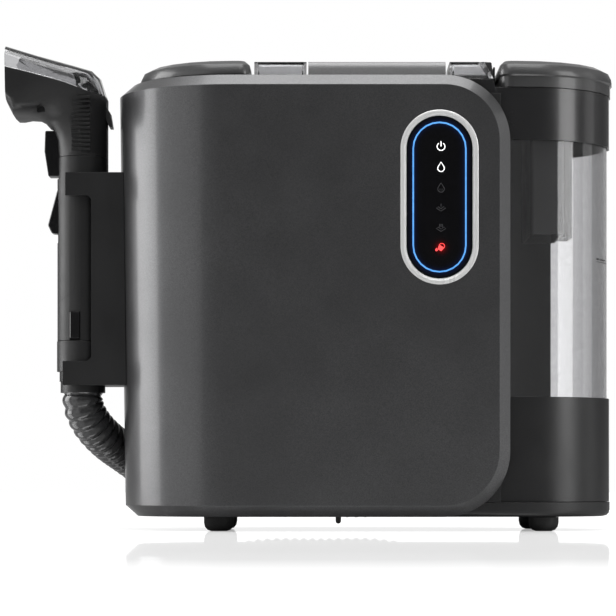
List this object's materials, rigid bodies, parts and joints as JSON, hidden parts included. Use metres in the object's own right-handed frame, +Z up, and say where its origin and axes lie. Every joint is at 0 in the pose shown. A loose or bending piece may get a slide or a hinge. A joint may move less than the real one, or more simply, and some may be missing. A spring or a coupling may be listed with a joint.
{
  "type": "steam carpet and upholstery cleaner",
  "caption": "Portable steam and suction cleaner with lift-out water tanks, a touch panel, a carry handle and a hand tool parked on a side cradle at the end of its ribbed hose.",
  "frame": {"origin": "on the floor, under the middle of the machine with its hand tool parked", "axes": "+Z up, -Y out of the front with the panel, +X to the right of someone facing the front, where the dirty water tank is"},
  "size_m": [0.472, 0.2126, 0.3741],
  "materials": {
    "graphite_shell": "dark graphite, fine metallic satin",
    "dark_shell": "dark grey plastic, fine satin grain",
    "black_matt": "black plastic, matt",
    "black_gloss": "black plastic, polished",
    "handle_grey": "grey plastic, satin",
    "smoke_clear": "smoke-tinted clear plastic, polished",
    "water_clear": "clear plastic, polished",
    "bezel_silver": "bright silver, polished",
    "light_blue": "light line, blue",
    "rubber_black": "black rubber, matt",
    "hose_grey": "dark grey flexible plastic, ribbed, half gloss",
    "steel_bright": "bare steel, satin",
    "motor_grey": "grey metal can, satin",
    "inner_grey": "mid grey plastic, satin",
    "pipe_white": "off-white plastic, satin",
    "board_green": "printed board, green lacquer"
  },
  "bodies": {
    "machine": {"front_shell": "graphite_shell", "rear_cover": "dark_shell", "base_pan": "black_matt", "foot_front_left": "rubber_black", "foot_front_right": "rubber_black", "foot_rear_left": "rubber_black", "foot_rear_right": "rubber_black", "bay_wall": "dark_shell", "top_deck": "dark_shell", "carry_handle": "handle_grey", "handle_underside": "black_matt", "panel_bezel": "bezel_silver", "panel_glass": "black_gloss", "panel_light": "light_blue", "control_board": "board_green", "clean_tank_shelf": "black_matt", "water_pump": "motor_grey", "steam_heater": "steel_bright", "steam_pipe": "pipe_white", "motor_stand": "black_matt", "suction_motor": "motor_grey", "fan_drum": "dark_shell", "air_duct": "black_matt", "suction_duct": "black_matt", "tool_cradle": "black_matt", "suction_hose": "hose_grey", "hose_collar": "dark_shell", "hose_cuff": "rubber_black", "hose_coupling": "dark_shell", "hose_hook_upper": "black_matt", "hose_hook_lower": "black_matt", "cable_gland": "rubber_black"},
    "fan": {"suction_fan": "inner_grey"},
    "clean_tank": {"clean_tank_cup": "water_clear", "clean_tank_collar": "dark_shell", "clean_tank_valve": "pipe_white", "clean_lid_pin": "steel_bright"},
    "clean_lid": {"clean_tank_lid": "black_gloss"},
    "clean_button": {"clean_tank_button": "smoke_clear"},
    "dirty_tank": {"dirty_tank_base": "dark_shell", "dirty_tank_cup": "smoke_clear", "dirty_tank_collar": "black_gloss", "dirty_tank_cover": "black_matt", "dirty_tank_separator": "inner_grey", "dirty_tank_duct": "smoke_clear", "float_cage": "inner_grey", "dirty_lid_pin": "steel_bright"},
    "dirty_lid": {"dirty_tank_lid": "black_gloss"},
    "dirty_button": {"dirty_tank_button": "smoke_clear"},
    "float": {"dirty_tank_float": "pipe_white"},
    "hand_tool": {"tool_handle": "dark_shell", "tool_head": "dark_shell", "tool_window": "smoke_clear", "tool_baffle": "black_matt", "steam_nozzle": "pipe_white", "trigger_pin": "steel_bright"},
    "trigger": {"trigger": "black_matt"},
    "thumb_lock": {"thumb_lock": "black_matt"},
    "release_tab": {"release_tab": "black_matt"}
  },
  "joints": [
    {"name": "fan_spin", "type": "hinge", "parent": "machine", "child": "fan", "pos_m": [0.035, -0.021, 0.26], "axis": [0, 0, 1], "continuous": true},
    {"name": "clean_tank_lift", "type": "slide", "parent": "machine", "child": "clean_tank", "axis": [0, 0, 1], "range_m": [0, 0.29]},
    {"name": "clean_lid_open", "type": "hinge", "parent": "clean_tank", "child": "clean_lid", "pos_m": [-0.051, 0.0515, 0.3475], "axis": [-1, 0, 0], "range_deg": [0, 95]},
    {"name": "clean_button_press", "type": "slide", "parent": "clean_tank", "child": "clean_button", "axis": [0, 0, -1], "range_m": [0, 0.003], "stiffness_N_per_m": 500, "springref_m": -0.002},
    {"name": "dirty_tank_lift", "type": "slide", "parent": "machine", "child": "dirty_tank", "axis": [0, 0, 1], "range_m": [0, 0.36]},
    {"name": "dirty_lid_open", "type": "hinge", "parent": "dirty_tank", "child": "dirty_lid", "pos_m": [0.161, 0.0515, 0.3475], "axis": [-1, 0, 0], "range_deg": [0, 95]},
    {"name": "dirty_button_press", "type": "slide", "parent": "dirty_tank", "child": "dirty_button", "axis": [0, 0, -1], "range_m": [0, 0.003], "stiffness_N_per_m": 500, "springref_m": -0.002},
    {"name": "float_rise", "type": "slide", "parent": "dirty_tank", "child": "float", "axis": [0, 0, 1], "range_m": [0, 0.036]},
    {"name": "hand_tool_lift", "type": "slide", "parent": "machine", "child": "hand_tool", "axis": [0, 0, 1], "range_m": [0, 0.25]},
    {"name": "trigger_pull", "type": "hinge", "parent": "hand_tool", "child": "trigger", "pos_m": [-0.188, -0.021, 0.3078], "axis": [0, -1, 0], "range_deg": [0, 8], "stiffness_Nm_per_rad": 0.6, "springref_deg": -17.19},
    {"name": "thumb_lock_slide", "type": "slide", "parent": "hand_tool", "child": "thumb_lock", "axis": [0, 0, -1], "range_m": [0, 0.006]},
    {"name": "release_tab_press", "type": "slide", "parent": "hand_tool", "child": "release_tab", "axis": [0, 1, 0], "range_m": [0, 0.002], "stiffness_N_per_m": 500, "springref_m": -0.002}
  ]
}
